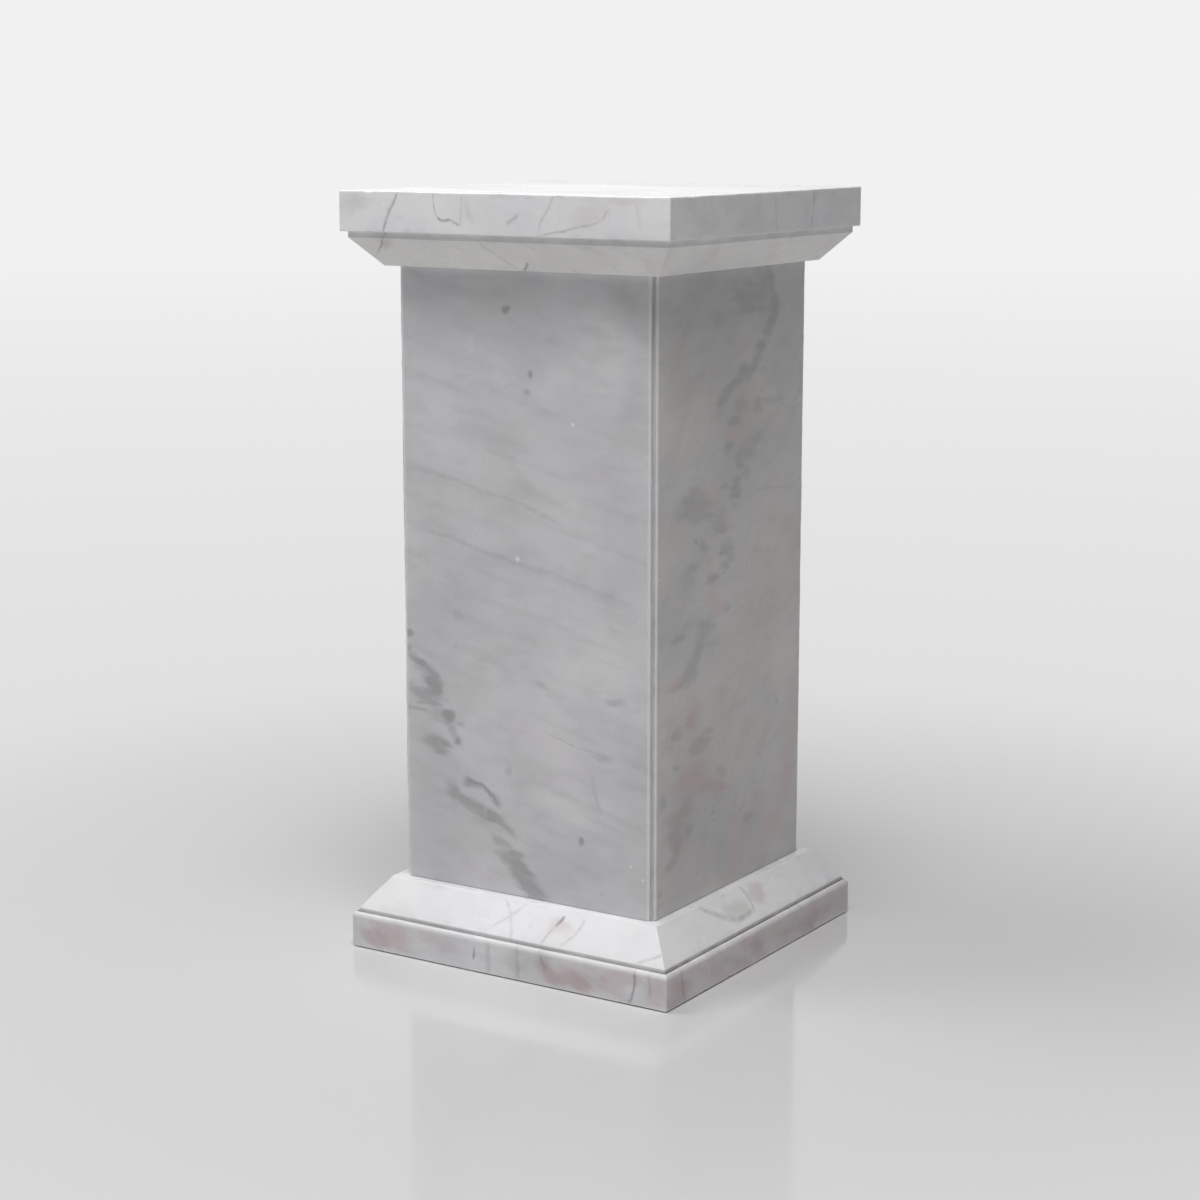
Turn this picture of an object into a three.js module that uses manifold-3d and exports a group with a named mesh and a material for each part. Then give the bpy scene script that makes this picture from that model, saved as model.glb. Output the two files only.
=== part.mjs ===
// A square marble pedestal: a moulded cap block and a moulded base block, with a hollow shaft between them.
// The shaft is four slabs whose long edges meet in quirk mitres: each slab's edge is cut square for a few
// millimetres behind its face and then mitred, so every corner of the shaft shows a small square notch.
// Inside, blocks bonded into the corners hold the mitres, and steel dowels locate the shaft on the base and
// the cap on the shaft. Millimetres, +Z up, origin on the floor under the middle. Front is -Y, right is +X.

import * as THREE from 'three';
import * as BufferGeometryUtils from 'three/addons/utils/BufferGeometryUtils.js';
import Module from 'manifold-3d';

// Cap, from its top down
const CAP_WIDTH = 400;
const CAP_BAND = 42;
const CAP_QUIRK_RISE = 6.5;
const CAP_QUIRK_INSET = 6;
const CAP_CHAMFER_RISE = 29.5;
const CAP_CHAMFER_RUN = 26.5;

// Base, from its underside up. The band's top edge is a quarter round.
const BASE_WIDTH = 400;
const BASE_BAND = 38.5;
const BASE_ROUND = 5.5;
const BASE_QUIRK_RISE = 3.5;
const BASE_QUIRK_INSET = 6;
const BASE_CHAMFER_RISE = 34;
const BASE_CHAMFER_RUN = 26;

// Shaft slabs
const SHAFT_WIDTH = 316;
const SHAFT_HEIGHT = 660;
const SLAB = 20;
const NOTCH = 5;

// Corner blocks behind the mitres
const BLOCK_SIDE = 40;
const BLOCK_HEIGHT = 60;
const BLOCK_RELIEF = 6;

// Dowels
const DOWEL_DIAMETER = 10;
const DOWEL_LENGTH = 60;
const DOWEL_TIP = 1;
const DOWEL_CLEARANCE = 0.3;

// Felt pads under the base
const PAD_DIAMETER = 50;
const PAD_THICKNESS = 3;
const PAD_PROUD = 1;
const PAD_INSET = 50;
const PAD_ROUND = 0.6;

// Finish of the stone: the cut that takes the sharpness off each outer edge, and one adhesive line
const ARRIS = 1;
const BOND = 0.3;

// How far outside a face its drill starts
const DRILL_START = 1;

const ROUND_SIDES = 32;
const PIN_SIDES = 24;
const ROUND_STEPS = 6;

// Heights of the joints, from the floor
const BASE_BOTTOM = PAD_PROUD;
const BASE_TOP = BASE_BOTTOM + BASE_BAND + BASE_QUIRK_RISE + BASE_CHAMFER_RISE;
const SHAFT_BOTTOM = BASE_TOP + BOND;
const SHAFT_TOP = SHAFT_BOTTOM + SHAFT_HEIGHT;
const CAP_BOTTOM = SHAFT_TOP + BOND;

// The inside faces of the shaft, and where the corner blocks and their dowels stand
const INSIDE = SHAFT_WIDTH / 2 - SLAB;
const BLOCK_OUTER = INSIDE - BOND;
const DOWEL_OFFSET = BLOCK_OUTER - BLOCK_SIDE / 2;
const PAD_OFFSET = BASE_WIDTH / 2 - PAD_INSET;

// The four sides and the four corners, each a quarter turn on from the one before
const SIDES = ['front', 'right', 'back', 'left'];
const CORNERS = ['front_right', 'back_right', 'back_left', 'front_left'];
const QUARTER_TURN = Math.PI / 2;

const wasm = await Module();
wasm.setup();

const marble = new THREE.MeshStandardMaterial({ color: 0xd9d9da, roughness: 0.28, metalness: 0 });
const sawnMarble = new THREE.MeshStandardMaterial({ color: 0xcfcecb, roughness: 0.75, metalness: 0 });
const steel = new THREE.MeshStandardMaterial({ color: 0xb4b6b8, roughness: 0.35, metalness: 1 });
const felt = new THREE.MeshStandardMaterial({ color: 0x4a4846, roughness: 0.95, metalness: 0 });

const pedestal = new THREE.Group();

function addPiece(name, geometry, material, x = 0, y = 0, z = 0, turn = 0) {
  const mesh = new THREE.Mesh(geometry, material);
  mesh.name = name;
  mesh.position.set(x, y, z);
  mesh.rotation.z = turn;
  pedestal.add(mesh);
}

// Manifold solids, for drilling

function toSolid(geometry) {
  const bare = geometry.clone();
  bare.deleteAttribute('normal');
  bare.deleteAttribute('uv');
  const merged = BufferGeometryUtils.mergeVertices(bare, 1e-4);
  const vertProperties = new Float32Array(merged.attributes.position.array);
  const triVerts = new Uint32Array(merged.index.array);
  return new wasm.Manifold(new wasm.Mesh({ numProp: 3, vertProperties, triVerts }));
}

function toGeometry(solid) {
  const mesh = solid.getMesh();
  const geometry = new THREE.BufferGeometry();
  geometry.setAttribute('position', new THREE.BufferAttribute(mesh.vertProperties, 3));
  geometry.setIndex(new THREE.BufferAttribute(mesh.triVerts, 1));
  geometry.computeVertexNormals();
  return geometry;
}

// Cuts upright round holes. Each hole is [x, y, low z, high z, radius, sides].
function drill(geometry, holes) {
  let solid = toSolid(geometry);
  for (const [x, y, low, high, radius, sides] of holes) {
    const bit = new THREE.CylinderGeometry(radius, radius, high - low, sides);
    bit.rotateX(Math.PI / 2);
    bit.translate(x, y, (low + high) / 2);
    solid = solid.subtract(toSolid(bit));
  }
  return toGeometry(solid);
}

// Square mouldings

// Points of a quarter round in a square corner, whose legs run in these two directions.
function quarterRound(corner, back, ahead, radius) {
  const centre = corner.clone().addScaledVector(back, radius).addScaledVector(ahead, radius);
  const points = [];
  for (let step = 0; step <= ROUND_STEPS; step++) {
    const angle = (step / ROUND_STEPS) * QUARTER_TURN;
    const point = centre.clone().addScaledVector(ahead, -radius * Math.cos(angle));
    points.push(point.addScaledVector(back, -radius * Math.sin(angle)));
  }
  return points;
}

// Cuts each outward corner of a half profile, except at its two ends, which lie on the axis. The profile is
// a list of [out, up], with a radius as well where the corner is a quarter round.
function easeProfile(profile, cut) {
  const corners = profile.map(([out, up]) => new THREE.Vector2(out, up));
  const eased = [corners[0]];
  for (let i = 1; i < corners.length - 1; i++) {
    const here = corners[i];
    const back = corners[i - 1].clone().sub(here).normalize();
    const ahead = corners[i + 1].clone().sub(here).normalize();
    const radius = profile[i][2];
    const outward = back.cross(ahead) < 0;
    if (radius) {
      eased.push(...quarterRound(here, back, ahead, radius));
    } else if (outward) {
      eased.push(here.clone().addScaledVector(back, cut));
      eased.push(here.clone().addScaledVector(ahead, cut));
    } else {
      eased.push(here);
    }
  }
  eased.push(corners[corners.length - 1]);
  return eased;
}

// One level of a square block: a square of this half width with its corners cut.
function squareLevel(halfWidth, z, cut) {
  const level = [];
  for (let turn = 0; turn < 4; turn++) {
    const cos = Math.round(Math.cos(turn * QUARTER_TURN));
    const sin = Math.round(Math.sin(turn * QUARTER_TURN));
    for (const [x, y] of [[halfWidth, -halfWidth + cut], [halfWidth, halfWidth - cut]]) {
      level.push([cos * x - sin * y, sin * x + cos * y, z]);
    }
  }
  return level;
}

// A square block with a half profile run round all four sides and mitred at the corners.
// The profile goes from the axis underneath, out and up, and back to the axis on top.
function runMoulding(profile, cut) {
  const levels = easeProfile(profile, cut).slice(1, -1).map((p) => squareLevel(p.x, p.y, cut));
  const count = levels[0].length;
  const index = [];
  for (let i = 0; i < levels.length - 1; i++) {
    for (let j = 0; j < count; j++) {
      const next = (j + 1) % count;
      const low = i * count;
      const high = low + count;
      index.push(low + j, low + next, high + next);
      index.push(low + j, high + next, high + j);
    }
  }
  const top = (levels.length - 1) * count;
  for (let j = 1; j < count - 1; j++) {
    index.push(0, j + 1, j);
    index.push(top, top + j, top + j + 1);
  }
  const geometry = new THREE.BufferGeometry();
  geometry.setAttribute('position', new THREE.Float32BufferAttribute(levels.flat(2), 3));
  geometry.setIndex(index);
  return geometry;
}

function capProfile() {
  const band = CAP_WIDTH / 2;
  const quirk = band - CAP_QUIRK_INSET;
  const soffit = quirk - CAP_CHAMFER_RUN;
  const chamferTop = CAP_CHAMFER_RISE;
  const bandBottom = chamferTop + CAP_QUIRK_RISE;
  const top = bandBottom + CAP_BAND;
  return [
    [0, 0],
    [soffit, 0],
    [quirk, chamferTop],
    [quirk, bandBottom],
    [band, bandBottom],
    [band, top],
    [0, top],
  ];
}

function baseProfile() {
  const band = BASE_WIDTH / 2;
  const quirk = band - BASE_QUIRK_INSET;
  const seat = quirk - BASE_CHAMFER_RUN;
  const chamferBottom = BASE_BAND + BASE_QUIRK_RISE;
  const top = chamferBottom + BASE_CHAMFER_RISE;
  return [
    [0, 0],
    [band, 0],
    [band, BASE_BAND, BASE_ROUND],
    [quirk, BASE_BAND],
    [quirk, chamferBottom],
    [seat, top],
    [0, top],
  ];
}

// Places that repeat at the four corners: the same offset on both axes, a quarter turn at a time

function atCorners(offset) {
  return CORNERS.map((corner, turn) => {
    const cos = Math.round(Math.cos(turn * QUARTER_TURN));
    const sin = Math.round(Math.sin(turn * QUARTER_TURN));
    return [corner, cos * offset + sin * offset, sin * offset - cos * offset, turn * QUARTER_TURN];
  });
}

// A blind hole for half of a dowel, from the joint face in to a little past the dowel's end
function dowelHole(x, y, face, direction) {
  const radius = DOWEL_DIAMETER / 2 + DOWEL_CLEARANCE;
  const end = face + direction * (DOWEL_LENGTH / 2 + DOWEL_CLEARANCE);
  const mouth = face - direction * DRILL_START;
  return [x, y, Math.min(end, mouth), Math.max(end, mouth), radius, PIN_SIDES];
}

function dowelHoles(face, direction) {
  return atCorners(DOWEL_OFFSET).map(([, x, y]) => dowelHole(x, y, face, direction));
}

function addCap() {
  const block = runMoulding(capProfile(), ARRIS);
  addPiece('cap', drill(block, dowelHoles(0, 1)), marble, 0, 0, CAP_BOTTOM);
}

function addBase() {
  const block = runMoulding(baseProfile(), ARRIS);
  const recessDepth = PAD_THICKNESS - PAD_PROUD + BOND;
  const recessRadius = PAD_DIAMETER / 2 + BOND;
  const recesses = atCorners(PAD_OFFSET).map(([, x, y]) => {
    return [x, y, -DRILL_START, recessDepth, recessRadius, ROUND_SIDES];
  });
  const holes = dowelHoles(BASE_TOP - BASE_BOTTOM, -1);
  addPiece('base', drill(block, [...recesses, ...holes]), marble, 0, 0, BASE_BOTTOM);
}

// Shaft slabs

// The front slab in plan. Its face stops short of the shaft's corner by the notch, the end goes straight
// back by the notch, and the rest of the edge is mitred at 45 degrees, half a bond line from the corner's
// diagonal. The two outer edges have their arrises taken off.
function slabOutline() {
  const face = -SHAFT_WIDTH / 2;
  const end = SHAFT_WIDTH / 2 - NOTCH;
  const halfBond = BOND / Math.SQRT2;
  const outline = new THREE.Shape();
  outline.moveTo(-end + ARRIS, face);
  outline.lineTo(end - ARRIS, face);
  outline.lineTo(end, face + ARRIS);
  outline.lineTo(end, -end - halfBond);
  outline.lineTo(INSIDE - halfBond, -INSIDE);
  outline.lineTo(-INSIDE + halfBond, -INSIDE);
  outline.lineTo(-end, -end - halfBond);
  outline.lineTo(-end, face + ARRIS);
  outline.closePath();
  return outline;
}

function addShaft() {
  SIDES.forEach((side, turn) => {
    const slab = new THREE.ExtrudeGeometry(slabOutline(), { depth: SHAFT_HEIGHT, bevelEnabled: false });
    addPiece(`shaft_panel_${side}`, slab, marble, 0, 0, SHAFT_BOTTOM, turn * QUARTER_TURN);
  });
}

// Corner blocks

// A square block in plan, standing on its dowel's axis, with the corner next to the mitre cut off so that
// it clears the adhesive squeezed out there.
function blockOutline() {
  const half = BLOCK_SIDE / 2;
  const outline = new THREE.Shape();
  outline.moveTo(-half, -half);
  outline.lineTo(half - BLOCK_RELIEF, -half);
  outline.lineTo(half, -half + BLOCK_RELIEF);
  outline.lineTo(half, half);
  outline.lineTo(-half, half);
  outline.closePath();
  return outline;
}

function cornerBlock(holeFace, holeDirection) {
  const block = new THREE.ExtrudeGeometry(blockOutline(), { depth: BLOCK_HEIGHT, bevelEnabled: false });
  return holeDirection ? drill(block, [dowelHole(0, 0, holeFace, holeDirection)]) : block;
}

function addCornerBlocks() {
  const middle = (SHAFT_BOTTOM + SHAFT_TOP - BLOCK_HEIGHT) / 2;
  const rows = [
    ['low', SHAFT_BOTTOM, cornerBlock(0, 1)],
    ['middle', middle, cornerBlock(0, 0)],
    ['high', SHAFT_TOP - BLOCK_HEIGHT, cornerBlock(BLOCK_HEIGHT, -1)],
  ];
  for (const [row, z, block] of rows) {
    for (const [corner, x, y, turn] of atCorners(DOWEL_OFFSET)) {
      addPiece(`corner_block_${row}_${corner}`, block, sawnMarble, x, y, z, turn);
    }
  }
}

// Dowels and pads

function dowel() {
  const radius = DOWEL_DIAMETER / 2;
  const half = DOWEL_LENGTH / 2;
  const profile = [
    new THREE.Vector2(0, -half),
    new THREE.Vector2(radius - DOWEL_TIP, -half),
    new THREE.Vector2(radius, -half + DOWEL_TIP),
    new THREE.Vector2(radius, half - DOWEL_TIP),
    new THREE.Vector2(radius - DOWEL_TIP, half),
    new THREE.Vector2(0, half),
  ];
  return new THREE.LatheGeometry(profile, PIN_SIDES).rotateX(Math.PI / 2);
}

function addDowels() {
  const rows = [
    ['base', BASE_TOP + BOND / 2],
    ['cap', CAP_BOTTOM - BOND / 2],
  ];
  for (const [row, z] of rows) {
    for (const [corner, x, y] of atCorners(DOWEL_OFFSET)) {
      addPiece(`dowel_${row}_${corner}`, dowel(), steel, x, y, z);
    }
  }
}

function pad() {
  const radius = PAD_DIAMETER / 2;
  const profile = [
    new THREE.Vector2(0, 0),
    new THREE.Vector2(radius - PAD_ROUND, 0),
    new THREE.Vector2(radius, PAD_ROUND),
    new THREE.Vector2(radius, PAD_THICKNESS),
    new THREE.Vector2(0, PAD_THICKNESS),
  ];
  return new THREE.LatheGeometry(profile, ROUND_SIDES).rotateX(Math.PI / 2);
}

function addPads() {
  for (const [corner, x, y] of atCorners(PAD_OFFSET)) {
    addPiece(`felt_pad_${corner}`, pad(), felt, x, y, 0);
  }
}

addBase();
addShaft();
addCornerBlocks();
addDowels();
addCap();
addPads();

export default pedestal;
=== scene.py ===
"""A square marble pedestal: moulded cap and base blocks round a shaft of four quirk-mitred slabs.

Metres, +Z up. Front is -Y and right is +X, as in the frame. Lengths in the tables are millimetres.
"""

import math

import bmesh
import bpy
from mathutils import Matrix, Vector, noise


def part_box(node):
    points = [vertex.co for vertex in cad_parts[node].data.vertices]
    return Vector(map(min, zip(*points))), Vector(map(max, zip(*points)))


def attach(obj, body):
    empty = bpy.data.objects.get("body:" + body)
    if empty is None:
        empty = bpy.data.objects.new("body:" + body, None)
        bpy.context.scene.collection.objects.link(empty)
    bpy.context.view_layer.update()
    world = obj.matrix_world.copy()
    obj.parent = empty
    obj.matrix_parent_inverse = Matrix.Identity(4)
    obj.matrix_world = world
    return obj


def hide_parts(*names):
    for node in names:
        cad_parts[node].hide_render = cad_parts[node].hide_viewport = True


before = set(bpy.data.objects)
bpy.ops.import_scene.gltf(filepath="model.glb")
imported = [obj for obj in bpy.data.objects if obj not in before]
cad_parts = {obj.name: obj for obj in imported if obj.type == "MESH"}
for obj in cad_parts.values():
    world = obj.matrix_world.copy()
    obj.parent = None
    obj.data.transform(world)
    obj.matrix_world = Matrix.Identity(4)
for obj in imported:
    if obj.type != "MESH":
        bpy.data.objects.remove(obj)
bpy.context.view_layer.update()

MM = 0.001
SIDES = ("front", "right", "back", "left")
QUARTER = math.pi / 2

# Camera, at the photograph's viewing angle
CAMERA_PLACE = (1.4848, -2.3394, 0.9032)
CAMERA_TURN = 32.529
CAMERA_DOWN = 10.838
CAMERA_LENS = 77.76
SENSOR = 36

# Mouldings, in millimetres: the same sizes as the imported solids, whose boxes give the widths and heights
CAP_QUIRK = (6, 6.5)
CAP_CHAMFER = (26.5, 29.5)
BASE_BAND = 38.5
BASE_ROUND = 5.5
BASE_QUIRK = (6, 3.5)
BASE_CHAMFER = (26, 34)
SLAB = 20
BOND = 0.3
PAD_RECESS = 2.3
PAD_FIT = 0.3
DOWEL_HOLE = 5.3
DOWEL_HALF = 30.3

# Radii of the edges, in millimetres
ARRIS = 1.2
SLAB_ARRIS = 1.9
INNER_ARRIS = 0.25
SLAB_EASE = 0.8

# How much paler stone, partly a worn edge and partly a painted highlight, a block's upright corners and the
# base's rounded edge show
CORNER_WEAR_AND_HIGHLIGHT = 0.15
ROUND_WEAR_AND_HIGHLIGHT = 0.5

# The wear wanders over these lengths in millimetres, by these shares of the radius
WEAR_LENGTH = 34
NICK_LENGTH = 9
SLOW_WEAR = 0.45
FINE_WEAR = 0.35

# Points: steps in an arc, in the base's rounded edge and round a bore, then millimetres from an arc to its
# flat point, along an edge and across a flat
ARC_STEPS = 4
ROUND_STEPS = 8
BORE_SIDES = 40
SHOULDER = 1.6
STATION = 4
FLAT_STEP = 8

# Faces that meet at more than these degrees stay sharp
STONE_FOLD = 35
FELT_FOLD = 60

# Small chips: which corner of the profile, side, place along it, half length and depth
CAP_CHIPS = (
    (4, 0, -162, 5, 1.4),
    (3, 1, 60, 4, 1.2),
    (4, 2, 95, 6, 1.8),
    (3, 3, -40, 5, 1.3),
)
BASE_CHIPS = (
    (0, 1, -124, 4, 1.6),
    (0, 1, -70, 6, 2.0),
    (0, 0, 118, 4, 1.1),
    (3, 2, -60, 5, 1.3),
    (0, 3, 30, 4, 1.4),
)


# Meshes

def unit(x, y):
    length = math.hypot(x, y)
    return x / length, y / length


def fillet(before, corner, after, radius, steps=ARC_STEPS):
    """Points of an arc of this radius that touches both legs of a corner."""
    ax, ay = unit(before[0] - corner[0], before[1] - corner[1])
    bx, by = unit(after[0] - corner[0], after[1] - corner[1])
    opening = math.acos(max(-1, min(1, ax * bx + ay * by)))
    reach = radius / math.tan(opening / 2)
    mx, my = unit(ax + bx, ay + by)
    centre = radius / math.sin(opening / 2)
    cx, cy = corner[0] + mx * centre, corner[1] + my * centre
    sx, sy = corner[0] + ax * reach - cx, corner[1] + ay * reach - cy
    ex, ey = corner[0] + bx * reach - cx, corner[1] + by * reach - cy
    swing = math.pi - opening
    points = []
    for step in range(steps + 1):
        u = step / steps
        a = math.sin((1 - u) * swing) / math.sin(swing)
        b = math.sin(u * swing) / math.sin(swing)
        points.append((cx + a * sx + b * ex, cy + a * sy + b * ey))
    return points


def worn_corner(before, corner, after, radius, wear_and_highlight, steps=ARC_STEPS):
    """A rounded corner as (point, share of a worn edge with a painted highlight), with a flat point a little
    way off each end.
    """
    arc = fillet(before, corner, after, radius, steps)
    shares = (0.5 * wear_and_highlight,) + (wear_and_highlight,) * (steps - 1) + (0.5 * wear_and_highlight,)
    points = list(zip(arc, shares))
    for end, leg in ((0, before), (-1, after)):
        x, y = unit(leg[0] - corner[0], leg[1] - corner[1])
        spare = math.dist(leg[:2], corner[:2]) / 2 - math.dist(arc[end], corner[:2])
        shoulder = max(0.05 * MM, min(SHOULDER * MM, spare))
        off = (arc[end][0] + x * shoulder, arc[end][1] + y * shoulder)
        points.insert(0 if end == 0 else len(points), (off, 0.0))
    return points


def wear(place, base):
    """The radius of a worn edge at a place: it wanders slowly, with finer nicks."""
    slow = noise.noise(place / (WEAR_LENGTH * MM))
    fine = noise.noise(place / (NICK_LENGTH * MM) + Vector((7, 3, 1)))
    return base * (1 + SLOW_WEAR * slow + FINE_WEAR * fine)


def turned(side, along, out):
    """Plan position from the distance along a side and the distance out from the axis."""
    across = ((1, 0), (0, 1), (-1, 0), (0, -1))[side]
    normal = ((0, -1), (1, 0), (0, 1), (-1, 0))[side]
    return across[0] * along + normal[0] * out, across[1] * along + normal[1] * out


def new_piece(name, data):
    piece = bpy.data.objects.new(name, data)
    bpy.context.scene.collection.objects.link(piece)
    return piece


def skin(name, rings, edge_share):
    """A closed solid from rings of points, each ring counter-clockwise seen from the far end.

    edge_share says, point by point, how much of a worn edge it is: 1 on an arris, 0 on a flat. The material
    paints it paler, partly as wear and partly as a painted highlight.
    """
    count = len(rings[0])
    points = [p for ring in rings for p in ring]
    faces = []
    for i in range(len(rings) - 1):
        for j in range(count):
            low, high = i * count, (i + 1) * count
            k = (j + 1) % count
            faces.append((low + j, low + k, high + k, high + j))
    faces.append(tuple(range(count - 1, -1, -1)))
    last = (len(rings) - 1) * count
    faces.append(tuple(range(last, last + count)))
    data = bpy.data.meshes.new(name)
    data.from_pydata(points, [], faces)
    wear_and_highlight = data.attributes.new("arris", "FLOAT", "POINT")
    wear_and_highlight.data.foreach_set("value", [s for ring in edge_share for s in ring])
    return new_piece(name, data)


def moulding(name, corners, reach, low, chips):
    """A square block with a worn half profile run round it.

    Each corner of the profile is (out, up, radius) in metres, from the underside to the top. A corner with
    a greater radius than an arris was cut round, so its radius doesn't wander.
    """
    cut = ARRIS * MM
    stations = []
    steps = round(2 * reach / (STATION * MM))
    for side in range(4):
        for step in range(steps + 1):
            stations.append((side, 2 * step / steps - 1, 0))
        for step in range(1, ARC_STEPS):
            stations.append((side, 1, step / ARC_STEPS))

    def at_station(station, out, up):
        side, share, swing = station
        rounding = wear(Vector((side, 0, up)), cut)
        straight = out - rounding
        if swing:
            angle = swing * QUARTER
            along = straight + rounding * math.sin(angle)
            return turned(side, along, straight + rounding * math.cos(angle))
        return turned(side, share * straight, out)

    columns, shares = [], []
    for station in stations:
        side, share, swing = station
        corner_wear_and_highlight = CORNER_WEAR_AND_HIGHLIGHT if swing else 0.0
        column, edge = [], []
        for i, (out, up, radius) in enumerate(corners):
            x, y = at_station(station, out, up)
            cut_round = radius > cut
            here = radius if cut_round else wear(Vector((x, y, up)), radius)
            for corner, chip_side, place, half, depth in chips:
                if corner == i and chip_side == side:
                    away = (share * out - place * MM) / (half * MM)
                    here += depth * MM * max(0, 1 - away * away) ** 2
            before = corners[i - 1] if i else (0, up)
            after = corners[i + 1] if i + 1 < len(corners) else (0, up)
            # Arrises are painted paler, partly as wear and partly as a painted highlight; cut rounds and
            # upright corners less so
            wear_and_highlight = 1.0 if radius > INNER_ARRIS * MM else 0.0
            if cut_round:
                wear_and_highlight = ROUND_WEAR_AND_HIGHLIGHT
            arc_steps = ROUND_STEPS if cut_round else ARC_STEPS
            for p, share_of_edge in worn_corner(before, (out, up), after, here, wear_and_highlight, arc_steps):
                column.append(p)
                edge.append(max(share_of_edge, corner_wear_and_highlight))
            if i + 1 < len(corners):
                nxt = corners[i + 1]
                pieces = round(math.dist((out, up), nxt[:2]) / (FLAT_STEP * MM))
                for k in range(1, pieces):
                    u = k / pieces
                    column.append((out + u * (nxt[0] - out), up + u * (nxt[1] - up)))
                    edge.append(corner_wear_and_highlight)
        columns.append([(*at_station(station, r, z), low + z) for r, z in column])
        shares.append(edge)
    rings = [list(ring) for ring in zip(*columns)]
    edge_rings = [list(ring) for ring in zip(*shares)]
    return skin(name, rings, edge_rings)


def finish_mesh(piece, fold=STONE_FOLD):
    """Smooth shading that keeps flat faces flat, and sharp where faces meet at more than fold degrees."""
    mesh = bmesh.new()
    mesh.from_mesh(piece.data)
    for face in mesh.faces:
        face.smooth = True
    for edge in mesh.edges:
        if len(edge.link_faces) == 2:
            edge.smooth = edge.calc_face_angle() < math.radians(fold)
    mesh.to_mesh(piece.data)
    mesh.free()
    weighted = piece.modifiers.new("weighted", "WEIGHTED_NORMAL")
    weighted.keep_sharp = True


def bore(piece, places, radius, low, high):
    """Cuts upright round holes."""
    mesh = bmesh.new()
    for x, y in places:
        matrix = Matrix.Translation((x, y, (low + high) / 2))
        bmesh.ops.create_cone(mesh, cap_ends=True, segments=BORE_SIDES, radius1=radius, radius2=radius,
                              depth=high - low, matrix=matrix)
    data = bpy.data.meshes.new("bit")
    mesh.to_mesh(data)
    mesh.free()
    bit = new_piece("bit", data)
    modifier = piece.modifiers.new("bore", "BOOLEAN")
    modifier.operation = "DIFFERENCE"
    modifier.solver = "EXACT"
    modifier.object = bit
    bpy.context.view_layer.update()
    evaluated = piece.evaluated_get(bpy.context.evaluated_depsgraph_get())
    cut = bpy.data.meshes.new_from_object(evaluated)
    piece.modifiers.remove(modifier)
    piece.data = cut
    bpy.data.objects.remove(bit)


def corner_places(offset):
    return [(x * offset, y * offset) for x, y in ((1, -1), (1, 1), (-1, 1), (-1, -1))]


def centre_of(node):
    lowest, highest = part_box(node)
    return (lowest + highest) / 2


def build_cap():
    lowest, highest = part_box("cap")
    band, height = highest.x, highest.z - lowest.z
    quirk = band - CAP_QUIRK[0] * MM
    soffit = quirk - CAP_CHAMFER[0] * MM
    chamfer_top = CAP_CHAMFER[1] * MM
    band_foot = chamfer_top + CAP_QUIRK[1] * MM
    corners = [
        (soffit, 0, ARRIS * MM),
        (quirk, chamfer_top, ARRIS * MM),
        (quirk, band_foot, INNER_ARRIS * MM),
        (band, band_foot, ARRIS * MM),
        (band, height, ARRIS * MM),
    ]
    cap = moulding("cap_block", corners, band, lowest.z, CAP_CHIPS)
    hole = centre_of("dowel_cap_front_right").x
    bore(cap, corner_places(hole), DOWEL_HOLE * MM, lowest.z - MM, lowest.z + DOWEL_HALF * MM)
    finish_mesh(cap)
    return cap


def build_base():
    lowest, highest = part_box("base")
    band, height = highest.x, highest.z - lowest.z
    quirk = band - BASE_QUIRK[0] * MM
    seat = quirk - BASE_CHAMFER[0] * MM
    chamfer_foot = (BASE_BAND + BASE_QUIRK[1]) * MM
    corners = [
        (band, 0, ARRIS * MM),
        (band, BASE_BAND * MM, BASE_ROUND * MM),
        (quirk, BASE_BAND * MM, INNER_ARRIS * MM),
        (quirk, chamfer_foot, ARRIS * MM),
        (seat, height, ARRIS * MM),
    ]
    base = moulding("base_block", corners, band, lowest.z, BASE_CHIPS)
    hole = centre_of("dowel_base_front_right").x
    bore(base, corner_places(hole), DOWEL_HOLE * MM, highest.z - DOWEL_HALF * MM, highest.z + MM)
    pad_low, pad_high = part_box("felt_pad_front_right")
    pad_radius = (pad_high.x - pad_low.x) / 2 + PAD_FIT * MM
    pad_place = centre_of("felt_pad_front_right").x
    bore(base, corner_places(pad_place), pad_radius, lowest.z - MM, lowest.z + PAD_RECESS * MM)
    finish_mesh(base)
    return base


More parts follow.
